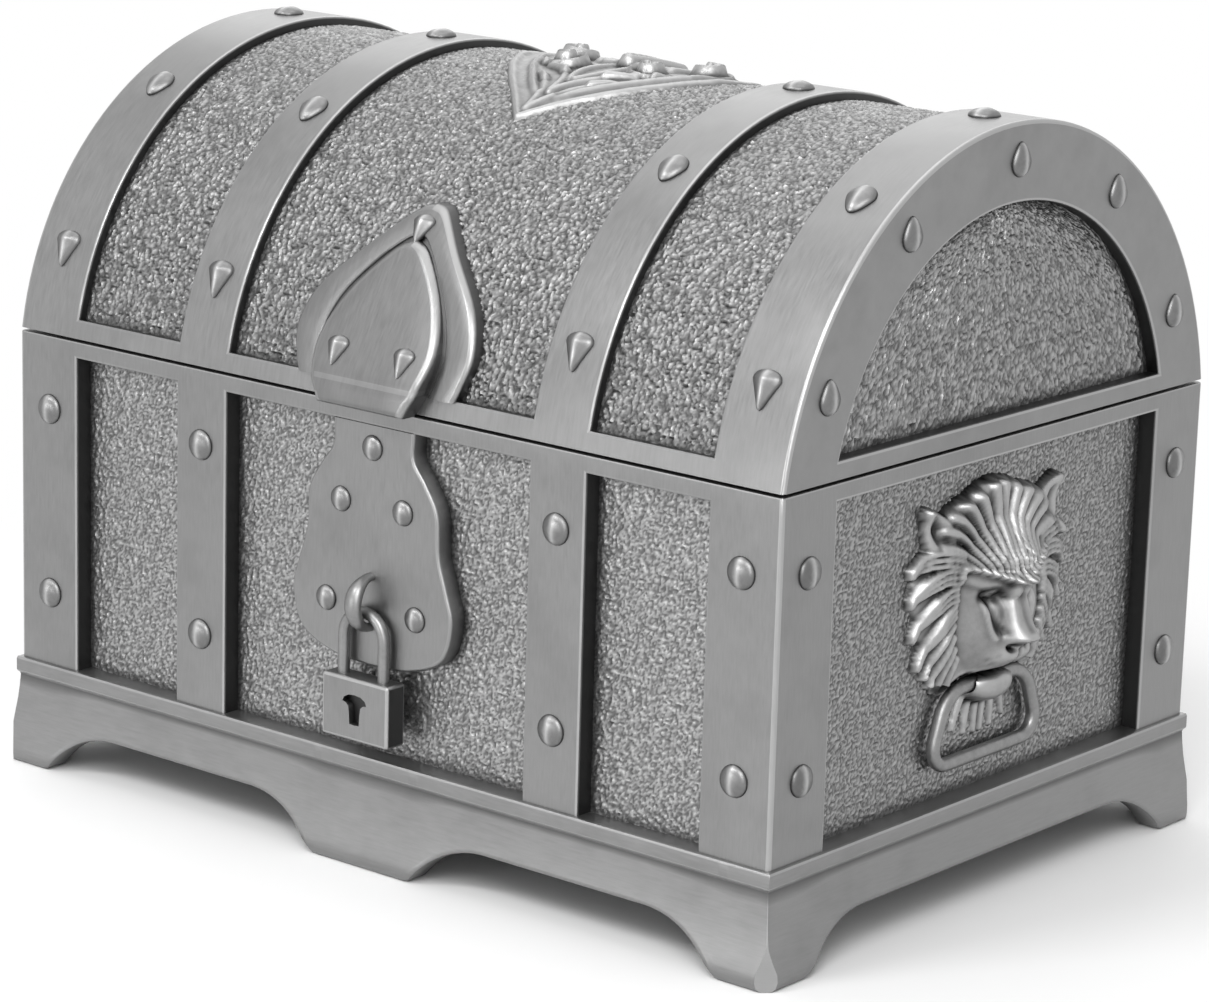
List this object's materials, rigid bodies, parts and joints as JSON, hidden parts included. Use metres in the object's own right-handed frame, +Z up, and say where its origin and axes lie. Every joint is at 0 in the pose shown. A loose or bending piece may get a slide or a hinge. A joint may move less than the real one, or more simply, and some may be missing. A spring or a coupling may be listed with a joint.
{
  "type": "treasure chest trinket box",
  "caption": "Cast-metal treasure chest box on a moulded plinth: hinged barrel lid, riveted straps, hasp with hanging padlock, lion masks with rings, scroll crest.",
  "frame": {"origin": "on the ground under the middle of the box", "axes": "+Z up, front with the padlock towards -Y, long side along X"},
  "size_m": [0.1104, 0.0775, 0.0781],
  "materials": {
    "cast_body": "antique pewter-grey zinc alloy, satin bands, dark stippled fields",
    "cast_trim": "antique pewter-grey zinc alloy, relieved bright on the edges",
    "hinge_steel": "dulled steel",
    "velvet_lining": "deep wine-red flocked velvet"
  },
  "bodies": {
    "base": {"base_tray": "cast_body", "base_lining": "velvet_lining", "plinth": "cast_body", "plinth_screws": "hinge_steel", "front_strap_rivets": "cast_trim", "rear_strap_rivets": "cast_trim", "side_rivets_left": "cast_trim", "side_rivets_right": "cast_trim", "lock_plate": "cast_trim", "lock_plate_rivets": "cast_trim", "staple": "cast_trim", "lion_mask_left": "cast_trim", "lion_mask_right": "cast_trim", "hinge_base_leaf_left": "hinge_steel", "hinge_base_leaf_right": "hinge_steel", "hinge_pin_left": "hinge_steel", "hinge_pin_right": "hinge_steel"},
    "lid": {"lid_shell": "cast_body", "lid_lining": "velvet_lining", "lid_band_rivets": "cast_trim", "lid_end_rivets_left": "cast_trim", "lid_end_rivets_right": "cast_trim", "lid_hasp": "cast_trim", "lid_hasp_rivets": "cast_trim", "lid_ornament": "cast_trim", "hinge_lid_leaf_left": "hinge_steel", "hinge_lid_leaf_right": "hinge_steel"},
    "padlock": {"padlock_body": "cast_trim", "padlock_shackle": "cast_trim"},
    "ring_left": {"ring_left": "cast_trim"},
    "ring_right": {"ring_right": "cast_trim"}
  },
  "joints": [
    {"name": "lid_hinge", "type": "hinge", "parent": "base", "child": "lid", "pos_m": [0, 0.0368, 0.04685], "axis": [-1, 0, 0], "range_deg": [0, 100]},
    {"name": "padlock_swing", "type": "hinge", "parent": "base", "child": "padlock", "pos_m": [0, -0.03605, 0.02628], "axis": [-1, 0, 0], "range_deg": [0, 120]},
    {"name": "ring_right_swing", "type": "hinge", "parent": "base", "child": "ring_right", "pos_m": [0.0491, 0, 0.0224], "axis": [0, -1, 0], "range_deg": [0, 90]},
    {"name": "ring_left_swing", "type": "hinge", "parent": "base", "child": "ring_left", "pos_m": [-0.0491, 0, 0.0224], "axis": [0, 1, 0], "range_deg": [0, 90]}
  ]
}
